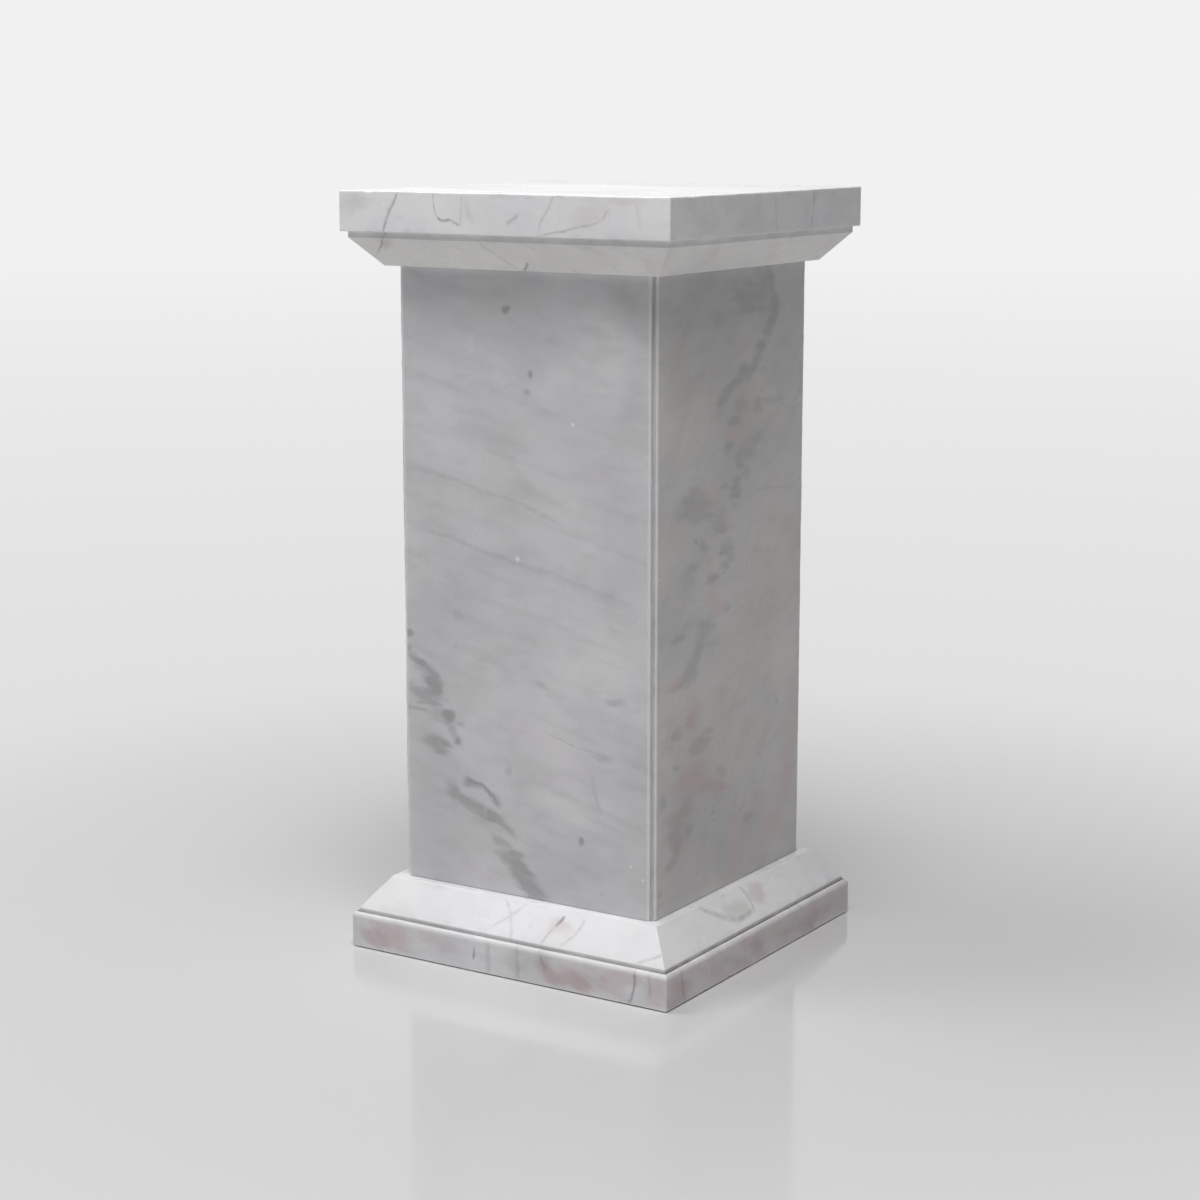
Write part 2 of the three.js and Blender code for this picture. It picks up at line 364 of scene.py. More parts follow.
def build_slab(side):
    """One shaft slab: its long edges are cut square for the notch and then mitred."""
    name = f"shaft_panel_{SIDES[side]}"
    lowest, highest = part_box("shaft_panel_front")
    face, foot, head = -lowest.y, lowest.z, highest.z
    end = highest.x
    inside = face - SLAB * MM
    slack = BOND * MM / math.sqrt(2)
    ease = SLAB_EASE * MM

    def ring(z, inset):
        out, reach = face - inset, end - inset
        corners = [
            (-reach, out, SLAB_ARRIS * MM),
            (reach, out, SLAB_ARRIS * MM),
            (reach, end - slack, INNER_ARRIS * MM),
            (inside - slack, inside, INNER_ARRIS * MM),
            (-inside + slack, inside, INNER_ARRIS * MM),
            (-reach, end - slack, INNER_ARRIS * MM),
        ]
        points, edge = [], []
        for i, (along, across, radius) in enumerate(corners):
            outer = i < 2
            if outer:
                radius = wear(Vector((along, side, z)), radius)
            before, after = corners[i - 1], corners[(i + 1) % len(corners)]
            if i in (3, 4):
                corner = [(p, 0.0) for p in fillet(before, (along, across), after, radius)]
            else:
                corner = worn_corner(before, (along, across), after, radius, 1.0 if outer else 0.0)
            for (a, o), share_of_edge in corner:
                points.append((*turned(side, a, o), z))
                edge.append(share_of_edge)
        return points, edge

    angles = [step / ARC_STEPS * QUARTER for step in range(ARC_STEPS)]
    eased = [(ease * (1 - math.cos(angle)), ease * (1 - math.sin(angle))) for angle in angles]
    straight = head - foot - 2 * ease
    runs = round(straight / (STATION * MM))
    heights = [(foot + rise, inset) for rise, inset in eased]
    heights += [(foot + ease + step / runs * straight, 0) for step in range(runs + 1)]
    heights += [(head - rise, inset) for rise, inset in reversed(eased)]
    rings = [ring(z, inset) for z, inset in heights]
    slab = skin(f"slab_{SIDES[side]}", [r[0] for r in rings], [r[1] for r in rings])
    finish_mesh(slab)
    return slab, name


def build_pad(corner):
    """A felt disc with a soft, slightly uneven rim."""
    node = f"felt_pad_{corner}"
    lowest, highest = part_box(node)
    middle = (lowest + highest) / 2
    radius, thick = (highest.x - lowest.x) / 2, highest.z - lowest.z
    around, rim_steps = 72, 5
    rings = []
    profile = [(0.35, 0), (0.7, 0)]
    for step in range(rim_steps + 1):
        angle = step / rim_steps * QUARTER
        profile.append((1 - 0.06 * (1 - math.sin(angle)), 0.35 * (1 - math.cos(angle))))
    profile += [(0.995, 0.7), (0.985, 0.95), (0.96, 1), (0.7, 1), (0.35, 1)]
    for share, up in profile:
        ring = []
        for step in range(around):
            angle = step / around * math.tau
            place = Vector((math.cos(angle) * 9, math.sin(angle) * 9, up * 3 + middle.x * 50))
            fuzz = 1 - 0.006 * (1 + noise.noise(place))
            r = radius * share * fuzz
            ring.append((middle.x + r * math.cos(angle), middle.y + r * math.sin(angle),
                         lowest.z + thick * up))
        rings.append(ring)
    pad = skin(f"felt_disc_{corner}", rings, [[0.0] * around for _ in rings])
    finish_mesh(pad, FELT_FOLD)
    return pad, node


# Materials

def most_of(tree, sockets):
    """The greatest of several sockets, as nodes of a tree."""
    total = sockets[0]
    for socket in sockets[1:]:
        either = tree.nodes.new("ShaderNodeMath")
        either.operation = "MAXIMUM"
        tree.links.new(total, either.inputs[0])
        tree.links.new(socket, either.inputs[1])
        total = either.outputs[0]
    return total


class Graph:
    """Builds one material's nodes. Each method adds a node and gives back its output."""

    def __init__(self, name):
        self.material = bpy.data.materials.new(name)
        self.material.use_nodes = True
        self.tree = self.material.node_tree
        self.tree.nodes.clear()
        self.place = self.node("ShaderNodeTexCoord").outputs["Object"]

    def node(self, kind, **settings):
        made = self.tree.nodes.new(kind)
        for key, value in settings.items():
            setattr(made, key, value)
        return made

    def feed(self, socket, value):
        if isinstance(value, bpy.types.NodeSocket):
            self.tree.links.new(value, socket)
        else:
            socket.default_value = value

    def math(self, operation, *values, clamp=False):
        made = self.node("ShaderNodeMath", operation=operation, use_clamp=clamp)
        for socket, value in zip(made.inputs, values):
            self.feed(socket, value)
        return made.outputs[0]

    def vector(self, operation, *values):
        made = self.node("ShaderNodeVectorMath", operation=operation)
        for socket, value in zip(made.inputs, values):
            self.feed(socket, value)
        return made.outputs["Value" if operation in ("LENGTH", "DOT_PRODUCT") else "Vector"]

    def filled(self, kind, **values):
        """A node whose inputs are given by name, with _ for a space."""
        made = self.node(kind)
        for name, value in values.items():
            self.feed(made.inputs[name.replace("_", " ")], value)
        return made

    def mapping(self, vector, kind="POINT", location=(0, 0, 0), turn=(0, 0, 0), scale=(1, 1, 1)):
        made = self.node("ShaderNodeMapping", vector_type=kind)
        for socket, value in zip(made.inputs, (vector, location, turn, scale)):
            self.feed(socket, value)
        return made.outputs[0]

    def split(self, vector):
        made = self.node("ShaderNodeSeparateXYZ")
        self.feed(made.inputs[0], vector)
        return made.outputs

    def span(self, value, low, high, to_low=0.0, to_high=1.0, smooth=True):
        """Takes low..high to to_low..to_high, held at both ends."""
        made = self.node("ShaderNodeMapRange", interpolation_type="SMOOTHSTEP" if smooth else "LINEAR")
        for socket, number in zip(made.inputs, (value, low, high, to_low, to_high)):
            self.feed(socket, number)
        return made.outputs[0]

    def noise(self, vector, scale, detail, roughness=0.5, colour=False):
        made = self.filled("ShaderNodeTexNoise", Vector=vector, Scale=scale, Detail=detail,
                           Roughness=roughness)
        return made.outputs["Color" if colour else "Fac"]

    def curve(self, value, points):
        made = self.node("ShaderNodeFloatCurve")
        line = made.mapping.curves[0]
        line.points[0].location = points[0]
        line.points[-1].location = points[-1]
        for x, y in points[1:-1]:
            line.points.new(x, y)
        made.mapping.update()
        self.feed(made.inputs["Value"], value)
        return made.outputs[0]

    def mix(self, share, first, second):
        """A mix of two colours, which this node has at inputs 6 and 7 and output 2."""
        made = self.node("ShaderNodeMix", data_type="RGBA")
        self.feed(made.inputs[0], share)
        self.feed(made.inputs[6], first)
        self.feed(made.inputs[7], second)
        return made.outputs[2]

    def most(self, sockets):
        return most_of(self.tree, sockets)

    def surface(self, colour, roughness, height, bump, depth, **settings):
        """Ends the material: colour, roughness, and a bump of this strength and depth in millimetres."""
        relief = self.filled("ShaderNodeBump", Strength=bump, Distance=depth * MM, Height=height)
        shader = self.filled("ShaderNodeBsdfPrincipled", Base_Color=colour, Roughness=roughness,
                             Normal=relief.outputs[0], **settings)
        self.filled("ShaderNodeOutputMaterial", Surface=shader.outputs[0])
        return self.material


CURVE_MARGIN = 0.25
STEADY = 0.7


def line_mark(g, across, up, path, width, strength, core=0.0, fray=None):
    """How strongly a line shows: it follows the path's points (across, up) and fades at its ends.

    It reaches width to each side, and core is the part of that width with its full strength. Past STEADY of
    its half length it fades, and CURVE_MARGIN is the room round the path in the curve that draws it.
    """
    spread = [max(p[k] for p in path) - min(p[k] for p in path) for k in (0, 1)]
    main = 0 if spread[0] > spread[1] else 1
    points = sorted((p[main] * MM, p[1 - main] * MM) for p in path)
    start, stop = points[0][0], points[-1][0]
    margin = max(spread[1 - main], 1) * MM * CURVE_MARGIN
    low = min(p[1] for p in points) - margin
    high = max(p[1] for p in points) + margin
    along, beside = (across, up) if main == 0 else (up, across)
    run = g.span(along, start, stop, smooth=False)
    shape = [((a - start) / (stop - start), (b - low) / (high - low)) for a, b in points]
    middle_line = g.math("MULTIPLY_ADD", g.curve(run, shape), high - low, low)
    slope = math.hypot(1, spread[1 - main] / spread[main])
    reach = width * MM * slope
    away = g.math("ABSOLUTE", g.math("SUBTRACT", beside, middle_line))
    if fray:
        away = g.math("MULTIPLY_ADD", fray, reach, away)
    mark = g.span(away, core * reach, reach, strength, 0)
    middle, half = (start + stop) / 2, (stop - start) / 2
    from_middle = g.math("ABSOLUTE", g.math("SUBTRACT", along, middle))
    ends = g.span(from_middle, half * STEADY, half + width * MM, 1, 0)
    return g.math("MULTIPLY", mark, ends)


def patch(g, face, x, z, wide, high, turn, strength, core=0.1, fray=None):
    """A soft oval spot, with its full strength over the core of its radii."""
    inside = g.mapping(face, "TEXTURE", location=(x * MM, 0, z * MM),
                       turn=(0, math.radians(-turn), 0), scale=(wide * MM, 1, high * MM))
    away = g.vector("LENGTH", g.vector("MULTIPLY", inside, (1, 0, 1)))
    if fray:
        away = g.math("ADD", away, fray)
    return g.span(away, core, 1, strength, 0)


# The stone's colours, linear
GROUND = (0.762, 0.757, 0.782, 1)
CLOUD = (0.665, 0.662, 0.690, 1)
WARM_CLOUD = (0.715, 0.712, 0.695, 1)
BRIGHT = (0.825, 0.825, 0.835, 1)
# Grey of smears and veins, also laid as painted shade on the blocks' bands and as a painted shadow under the
# cap on the right slab
SMEAR_AND_SHADE = (0.36, 0.352, 0.362, 1)
LINE = (0.27, 0.26, 0.27, 1)
PINK = (0.665, 0.535, 0.560, 1)
BROWN = (0.46, 0.36, 0.375, 1)
OLIVE = (0.50, 0.49, 0.42, 1)
# Near white: the flecks, and on the edges paler worn stone together with a painted highlight
NEAR_WHITE = (0.93, 0.93, 0.93, 1)
# Painted light: a paler band on the lit sides and on the base's chamfer, and warm bounce light painted on
# the cap's underside chamfer, dimmer on the shaded sides
PAINTED_LIGHT_PALE = (0.94, 0.94, 0.955, 1)
PAINTED_BOUNCE_IVORY = (0.93, 0.92, 0.865, 1)
PAINTED_DIM_BOUNCE_IVORY = (0.81, 0.80, 0.75, 1)


# Brush strokes: where their noise starts and is full, how far they move a mark's edge and how faint they
# leave its inside
STROKES = (0.30, 0.70)
FRAY = 0.22
FAINTEST = 0.80

# How much of a mark's reach has its full strength
STROKE_CORE = 0.18
BLOT_CORE = 0.22
BLOCK_CORE = 0.25
PAINTED_BAND_CORE = 0.7

# How strongly the olive and brown stains show
SLAB_OLIVE = 0.34
SLAB_BROWN = 0.66
BLOCK_OLIVE = 0.45
BLOCK_BROWN = 0.52

# The polish: roughness from smoothest to dullest, what a worn edge adds to it, and how pale the edge is
# painted, partly as wear and partly as a painted highlight
SHEEN = (0.24, 0.38)
WORN_ROUGHNESS = 0.20
WEAR_AND_HIGHLIGHT_PALE = 0.75
POLISH_RELIEF = 0.06
MARBLE_IOR = 1.5

# A band of painted light and shade runs past the block's corners, to this many millimetres from the middle
# of its side
PAINTED_BAND_END = 300


def wandering(g, place, amount, size):
    """Moves points about by up to this many millimetres, over this size, so that drawn marks wander."""
    drift = g.noise(place, 1 / (size * MM), 3, 0.55, colour=True)
    shift = g.vector("SUBTRACT", drift, (0.5, 0.5, 0.5))
    moved = g.node("ShaderNodeVectorMath", operation="SCALE")
    g.feed(moved.inputs[0], shift)
    g.feed(moved.inputs["Scale"], amount * MM * 2)
    return g.vector("ADD", place, moved.outputs[0])


def drawn_out(g, place, turn, length, breadth, detail=3):
    """Noise drawn out into strokes of about this length and breadth in millimetres, at this turn."""
    strokes = g.mapping(place, "TEXTURE", turn=(0, math.radians(-turn), 0),
                        scale=(length * MM, 2 * breadth * MM, breadth * MM))
    return g.noise(strokes, 1, detail, 0.5)


def laid(g, colour, pattern, low, high, ink, strength=1.0):
    """Lays an ink over a colour: none where the pattern is low, up to this strength where it is high."""
    return g.mix(g.span(pattern, low, high, 0, strength), colour, ink)


def stone_ground(g, place, tint, grain, streaks):
    """Pale stone with soft clouds, mottling, faint streaks along the grain and fine crystals.

    Noises of like size are read at different offsets, so that they don't follow each other.
    """
    ground, cloud, warm_cloud, bright = (
        (*(part * share for part, share in zip(shade, tint)), 1)
        for shade in (GROUND, CLOUD, WARM_CLOUD, BRIGHT))
    colour = laid(g, ground, g.noise(place, 6, 5, 0.55), 0.40, 0.66, cloud)
    warm = g.noise(g.vector("ADD", place, (0.31, 0.17, 0.53)), 9, 4, 0.55)
    colour = laid(g, colour, warm, 0.46, 0.70, warm_cloud, 0.8)
    glow = g.noise(g.vector("ADD", place, (0.91, 0.37, 0.13)), 7, 3, 0.5)
    colour = laid(g, colour, glow, 0.46, 0.72, bright)
    mottle = drawn_out(g, place, grain * 0.3, 34, 15, 2)
    colour = laid(g, colour, mottle, 0.44, 0.76, SMEAR_AND_SHADE, 0.16)
    streak = drawn_out(g, g.vector("ADD", place, (0.23, 0.71, 0.41)), grain, 150, 14, 2)
    colour = laid(g, colour, streak, 0.48, 0.78, SMEAR_AND_SHADE, streaks)
    crystal = g.noise(place, 620, 2, 0.6)
    return laid(g, colour, crystal, 0.35, 0.75, SMEAR_AND_SHADE, 0.06)


def polished(g, colour, place):
    """The polish: a soft sheen, a little uneven, with duller stone along the worn edges, painted paler there
    as wear together with a painted highlight.
    """
    wear_and_highlight = g.node("ShaderNodeAttribute", attribute_name="arris").outputs["Fac"]
    colour = g.mix(g.math("MULTIPLY", wear_and_highlight, WEAR_AND_HIGHLIGHT_PALE), colour, NEAR_WHITE)
    smudge = g.noise(place, 9, 4, 0.6)
    roughness = g.math("MULTIPLY_ADD", wear_and_highlight, WORN_ROUGHNESS, g.span(smudge, 0.3, 0.7, *SHEEN))
    return g.surface(colour, roughness, g.noise(place, 26, 2, 0.4), POLISH_RELIEF, 1, IOR=MARBLE_IOR)


def frayed(g, strokes):
    """How far brush strokes move a mark's edge, as a part of its reach."""
    return g.math("MULTIPLY_ADD", g.span(strokes, *STROKES), -2 * FRAY, FRAY)


def brushed(g, strokes, density):
    """Lets brush strokes show inside a mark."""
    return g.math("MULTIPLY", density, g.span(strokes, *STROKES, FAINTEST, 1.0))


def waver(g, place):
    """A share that comes and goes along a line."""
    return g.span(g.noise(place, 100, 2, 0.5), 0.30, 0.62, 0.45, 1.0)


def marked(g, colour, amount, share, ink):
    """Mixes an ink into a colour by the product of two shares."""
    return g.mix(g.math("MULTIPLY", amount, share), colour, ink)


# What each shaft slab shows. Places are (across, up) in millimetres from the middle of the slab's foot.
# tint multiplies the ground's colours. grain and brush are the turns of its streaks and brush strokes, in
# degrees. streaks, ink and blush say how strongly streaks, grey marks and pink stains show. A line or a
# stroke is (path, half width, strength), a fleck (across, up, radius) and any other mark (across, up, half
# width, half height, turn, strength).
FRONT_MARKS = {
    "tint": (0.960, 0.955, 0.961), "grain": -14, "streaks": 0.16,
    "brush": -13, "ink": 1.0, "blush": 0.42,
    "lines": [
        ([(-150, 388), (-95, 377), (-22, 361), (72, 342), (150, 322)], 4.5, 0.24),
        ([(-10, 366), (40, 345), (96, 334), (150, 318)], 11, 0.13),
        ([(-152, 452), (-94, 440), (5, 419), (60, 402)], 4, 0.20),
        ([(24, 182), (62, 174), (108, 167)], 2, 0.24), ([(83, 148), (86, 128), (96, 106)], 3, 0.20),
        ([(-75, 117), (-58, 115), (-35, 97)], 2.2, 0.45),
    ],
    "strokes": [
        ([(-147, 245), (-134, 239), (-120, 229), (-114, 216), (-117, 204)], 11, 0.80),
        ([(-138, 199), (-104, 196)], 4.5, 0.62), ([(-152, 192), (-126, 189)], 4, 0.50),
        ([(-98, 190), (-93, 172), (-84, 159)], 8, 0.48),
        ([(-78, 117), (-64, 115), (-50, 110), (-40, 101), (-32, 97)], 6, 0.76),
        ([(-100, 107), (-88, 102), (-80, 95), (-64, 90), (-50, 84)], 12, 0.66),
        ([(-50, 83), (-36, 81), (-28, 76), (-17, 69)], 9, 0.74), ([(-40, 58), (-18, 51)], 7, 0.46),
        ([(-22, 42), (-12, 34), (-2, 18), (14, 3)], 17, 0.74),
    ],
    "blots": [
        (-150, 281, 7, 6, 0, 0.5), (-150, 271, 10, 8, 0, 0.8), (-151, 255, 7, 7, 0, 0.55),
        (-119, 222, 15, 25, 8, 0.84), (-126, 230, 22, 14, -24, 0.55), (-130, 208, 34, 14, -6, 0.62),
        (-98, 186, 13, 12, 0, 0.88), (-110, 186, 34, 12, -8, 0.42), (-84, 179, 10, 5, 0, 0.4),
        (-85, 161, 8, 8, 0, 0.9), (-117, 155, 32, 12, 0, 0.70), (-110, 148, 18, 6, 0, 0.6),
        (-92, 105, 14, 6, 0, 0.55), (-67, 90, 24, 11, -14, 0.55), (-39, 102, 14, 8, -34, 0.6),
        (-14, 46, 17, 8, 0, 0.62), (-10, 30, 20, 13, -10, 0.72), (115, 227, 19, 7, 4, 0.42),
        (98, 166, 22, 7, 0, 0.34), (24, 234, 12, 6, -20, 0.36), (69, 72, 5, 7, 0, 0.72),
        (-22, 621, 8, 6, 20, 1.0), (10, 557, 5, 6, 0, 0.9), (5, 539, 9, 8, 0, 0.72),
        (-24, 138, 8, 7, 0, 0.36), (-86, 294, 10, 9, 0, 0.26),
    ],
    "hazes": [
        (-40, 488, 58, 16, -8, 0.20), (2, 440, 30, 13, -14, 0.26), (-20, 412, 44, 14, -8, 0.14),
        (135, 622, 58, 30, -46, 0.34), (-70, 538, 60, 10, 2, 0.10), (-90, 60, 90, 80, 0, 0.10),
        (-120, 200, 60, 70, -20, 0.12), (-100, 138, 46, 18, -24, 0.16), (-54, 78, 46, 24, -34, 0.20),
    ],
    "pinks": [(-60, 20, 90, 30, -10, 0.25), (40, 160, 110, 60, -20, 0.3), (90, 450, 60, 80, 0, 0.2)],
    "browns": [],
    "olives": [(-117, 154, 34, 15, -5, 0.9), (-62, 88, 36, 14, -28, 0.2), (-8, 30, 26, 22, 0, 0.3)],
    "flecks": [(62, 508, 3), (-8, 362, 4), (133, 56, 2.6), (146, 43, 2.2)],
}
RIGHT_MARKS = {
    "tint": (0.890, 0.874, 0.843), "grain": 58, "streaks": 0.12,
    "brush": -5, "ink": 0.92, "blush": 0.78,
    "lines": [
        ([(42, 425), (96, 421), (146, 415)], 2, 0.22), ([(-58, 340), (-30, 342), (-8, 347)], 2.5, 0.25),
        ([(-72, 296), (-30, 300)], 2, 0.2),
    ],
    "strokes": [
        ([(70, 658), (78, 632), (84, 612), (72, 595), (66, 582)], 15, 0.72),
        ([(58, 566), (40, 554), (12, 549), (-5, 540), (-27, 525)], 11, 0.66),
        ([(60, 516), (104, 516)], 5, 0.30), ([(-52, 296), (-66, 278), (-78, 262), (-92, 244)], 15, 0.50),
    ],
    "blots": [
        (35, 628, 66, 26, -4, 0.58), (26, 618, 40, 12, 0, 0.50), (56, 642, 30, 18, 0, 0.60),
        (-30, 612, 44, 14, 4, 0.26), (80, 612, 17, 16, 0, 0.60), (58, 573, 15, 11, 0, 0.80),
        (15, 549, 19, 9, 0, 0.52), (-2, 540, 19, 10, 10, 0.50), (-25, 526, 14, 10, 20, 0.62),
        (15, 517, 24, 15, 0, 0.42), (52, 512, 19, 11, 0, 0.62), (2, 503, 22, 9, 0, 0.50),
        (-13, 473, 18, 11, 8, 0.58), (46, 480, 23, 10, 6, 0.52), (28, 467, 26, 12, -6, 0.60),
        (12, 456, 19, 11, -20, 0.58), (30, 444, 16, 10, 0, 0.34), (8, 430, 20, 19, 0, 0.72),
        (-16, 437, 16, 6, 0, 0.52), (-82, 424, 42, 20, 0, 0.55), (-70, 411, 44, 16, -4, 0.50),
        (-30, 402, 22, 16, 0, 0.36), (-20, 391, 28, 9, 6, 0.44), (-76, 383, 9, 5, -10, 0.80),
        (-62, 376, 22, 9, -22, 0.58), (-16, 368, 20, 14, 0, 0.60), (-5, 361, 15, 12, 20, 0.56),
        (-19, 352, 18, 9, 10, 0.56), (-82, 357, 18, 10, 10, 0.42), (-93, 345, 22, 12, 20, 0.34),
        (-40, 342, 24, 7, 6, 0.58), (-11, 305, 10, 5, 0, 0.55), (-56, 293, 32, 9, 2, 0.52),
        (-84, 299, 40, 6, 0, 0.26), (-112, 289, 19, 8, 0, 0.60), (-68, 277, 15, 13, 0, 0.56),
        (-38, 275, 22, 6, 0, 0.26), (-87, 246, 26, 14, 8, 0.50), (-114, 190, 21, 12, 26, 0.46),
        (-66, 170, 28, 12, 4, 0.56), (-50, 179, 16, 6, 0, 0.40), (-114, 156, 17, 6, 0, 0.56),
        (-140, 124, 12, 12, 0, 0.50), (-24, 133, 18, 7, -24, 0.40), (-88, 83, 15, 13, 30, 0.44),
    ],
    "hazes": [
        # The first haze, a band across the whole top, is a painted shadow under the cap; the others are
        # smears
        (-10, 655, 220, 80, 0, 0.30), (20, 628, 104, 44, 0, 0.24), (30, 480, 76, 80, 20, 0.12),
        (-56, 400, 90, 60, 16, 0.12), (-84, 270, 60, 70, 30, 0.10), (-80, 180, 70, 60, 0, 0.10),
        (-100, 90, 70, 50, 30, 0.14),
    ],
    "pinks": [
        (-2, 490, 30, 12, 0, 0.95), (22, 482, 26, 9, 0, 0.50), (-6, 634, 12, 7, 20, 0.80),
        (-45, 432, 34, 14, -4, 1.0), (-42, 325, 20, 22, 0, 1.0), (-28, 308, 32, 10, 6, 1.0),
        (-114, 240, 25, 9, 10, 1.0), (-80, 205, 22, 18, 0, 1.0), (-86, 194, 28, 9, 0, 0.8),
        (-88, 142, 52, 18, 0, 0.8), (-64, 124, 66, 18, -8, 0.9), (-22, 116, 36, 8, -8, 0.95),
        (8, 40, 22, 66, 0, 0.85), (50, 86, 34, 18, 0, 0.55), (96, 48, 48, 34, 0, 0.75),
        (128, 104, 20, 70, 0, 0.85), (-74, 55, 44, 15, -20, 0.60), (-108, 34, 40, 14, 0, 0.50),
        (-146, 20, 12, 30, 0, 0.80),
    ],
    "browns": [
        (-80, 136, 58, 20, 0, 0.45), (-40, 118, 50, 10, -8, 0.60), (-96, 110, 52, 17, 14, 0.78),
        (-114, 90, 24, 34, 0, 0.80), (-112, 70, 16, 13, 0, 0.90), (-126, 52, 28, 10, 30, 0.72),
        (-72, 118, 50, 11, -6, 0.50), (41, 62, 15, 12, 0, 1.0), (-82, 198, 18, 12, 0, 0.55),
        (-112, 238, 18, 6, 10, 0.60),
    ],
    "olives": [
        (-60, 540, 120, 90, 30, 0.35), (80, 330, 80, 160, 0, 0.35), (-80, 418, 48, 22, 0, 0.55),
        (-26, 398, 28, 20, 0, 0.60), (20, 500, 60, 60, 0, 0.50), (80, 610, 20, 20, 0, 0.60),
    ],
    "flecks": [],
}
BACK_MARKS = {
    "tint": (0.925, 0.920, 0.920), "grain": 26, "streaks": 0.20,
    "brush": 30, "ink": 0.80, "blush": 0.52,
    "lines": [
        ([(-150, 250), (-80, 292), (10, 330), (90, 388), (150, 420)], 4.5, 0.26),
        ([(-60, 520), (-10, 548), (52, 566), (118, 604)], 4, 0.2),
        ([(30, 106), (66, 148), (100, 166), (130, 204)], 2.2, 0.4),
    ],
    "strokes": [
        ([(20, 110), (60, 146), (92, 170), (120, 214)], 10, 0.95),
        ([(96, 176), (124, 214), (150, 232)], 9, 0.9), ([(-150, 30), (-112, 58), (-86, 84)], 8, 0.75),
    ],
    "blots": [
        (-90, 470, 52, 12, 30, 0.72), (-44, 500, 34, 10, 44, 0.68), (-120, 560, 9, 7, 0, 0.8),
        (20, 420, 7, 5, 0, 0.9),
    ],
    "hazes": [(90, 180, 80, 50, 40, 0.14), (-60, 480, 90, 40, 30, 0.12), (110, 620, 60, 30, 20, 0.16)],
    "pinks": [(70, 210, 60, 40, 30, 0.6), (-60, 440, 70, 30, 20, 0.5)],
    "browns": [(-120, 44, 40, 16, 36, 0.7)],
    "olives": [(90, 170, 40, 24, 40, 0.6)],
    "flecks": [(-40, 300, 3), (90, 500, 2.6)],
}
LEFT_MARKS = {
    "tint": (0.900, 0.890, 0.880), "grain": -52, "streaks": 0.16,
    "brush": 6, "ink": 0.62, "blush": 0.60,
    "lines": [
        ([(-120, 610), (-84, 560), (-60, 500), (-20, 462)], 4, 0.25),
        ([(-10, 300), (26, 262), (40, 214), (84, 170)], 4, 0.25),
    ],
    "strokes": [
        ([(-128, 640), (-104, 592), (-80, 548), (-58, 508)], 12, 0.85),
        ([(-50, 500), (-34, 456), (-6, 430)], 11, 0.82),
        ([(2, 350), (18, 300), (38, 250), (60, 206)], 10, 0.85),
        ([(64, 200), (92, 160), (126, 96)], 10, 0.8),
    ],
    "blots": [
        (-90, 470, 30, 14, 0, 0.75), (36, 390, 30, 15, 0, 0.75), (-12, 246, 24, 10, 0, 0.7),
        (130, 60, 22, 12, 0, 0.75),
    ],
    "hazes": [(-80, 540, 70, 90, -20, 0.14), (50, 240, 70, 110, -25, 0.12)],
    "pinks": [(-60, 470, 50, 22, 0, 0.8), (40, 200, 60, 22, 0, 0.9), (110, 40, 50, 30, 0, 0.8)],
    "browns": [(96, 100, 44, 16, -30, 0.8)],
    "olives": [(0, 380, 50, 30, 0, 0.5)],
    "flecks": [(-100, 400, 2.6), (70, 560, 2.6)],
}
SLAB_MARKS = (FRONT_MARKS, RIGHT_MARKS, BACK_MARKS, LEFT_MARKS)


def slab_marble(side):
    """A polished slab with the marks of its side."""
    marks = SLAB_MARKS[side]
    g = Graph(f"marble_{SIDES[side]}")
    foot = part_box("shaft_panel_front")[0].z
    face = g.mapping(g.place, location=(0, 0, -foot), turn=(0, 0, -side * QUARTER))
    own = g.vector("ADD", face, (side * 2.3, 0, side * 1.9))
    colour = stone_ground(g, own, marks["tint"], marks["grain"], marks["streaks"])
    soft = wandering(g, face, 7, 60)
    drawn = wandering(g, soft, 2.6, 12)
    across, _, up = g.split(drawn)
    bristle = drawn_out(g, own, marks["brush"], 24, 8.5)
    wash = drawn_out(g, g.vector("ADD", own, (0.5, 0.2, 0.9)), marks["brush"], 36, 13)
    edge, wash_edge = frayed(g, bristle), frayed(g, wash)

    def spread(kind, fray=None):
        return g.most([patch(g, soft, *spot, fray=fray) for spot in marks[kind]])

    # Soft grey hazes; on the right slab one of them is a painted shadow under the cap
    colour = marked(g, colour, spread("hazes"), 1.0, SMEAR_AND_SHADE)
    colour = marked(g, colour, brushed(g, wash, spread("pinks", wash_edge)), marks["blush"], PINK)
    colour = marked(g, colour, spread("olives"), SLAB_OLIVE, OLIVE)
    if marks["browns"]:
        colour = marked(g, colour, brushed(g, wash, spread("browns", wash_edge)), SLAB_BROWN, BROWN)
    strokes = [line_mark(g, across, up, *stroke, STROKE_CORE, edge) for stroke in marks["strokes"]]
    blots = [patch(g, drawn, *blot, BLOT_CORE, edge) for blot in marks["blots"]]
    density = g.most(strokes + blots)
    colour = marked(g, colour, brushed(g, bristle, density), marks["ink"], SMEAR_AND_SHADE)
    lines = g.most([line_mark(g, across, up, *line) for line in marks["lines"]])
    colour = marked(g, colour, lines, waver(g, own), LINE)
    if marks["flecks"]:
        flecks = g.most([patch(g, drawn, x, z, size, size, 0, 1.0) for x, z, size in marks["flecks"]])
        colour = g.mix(flecks, colour, NEAR_WHITE)
    return polished(g, colour, own)


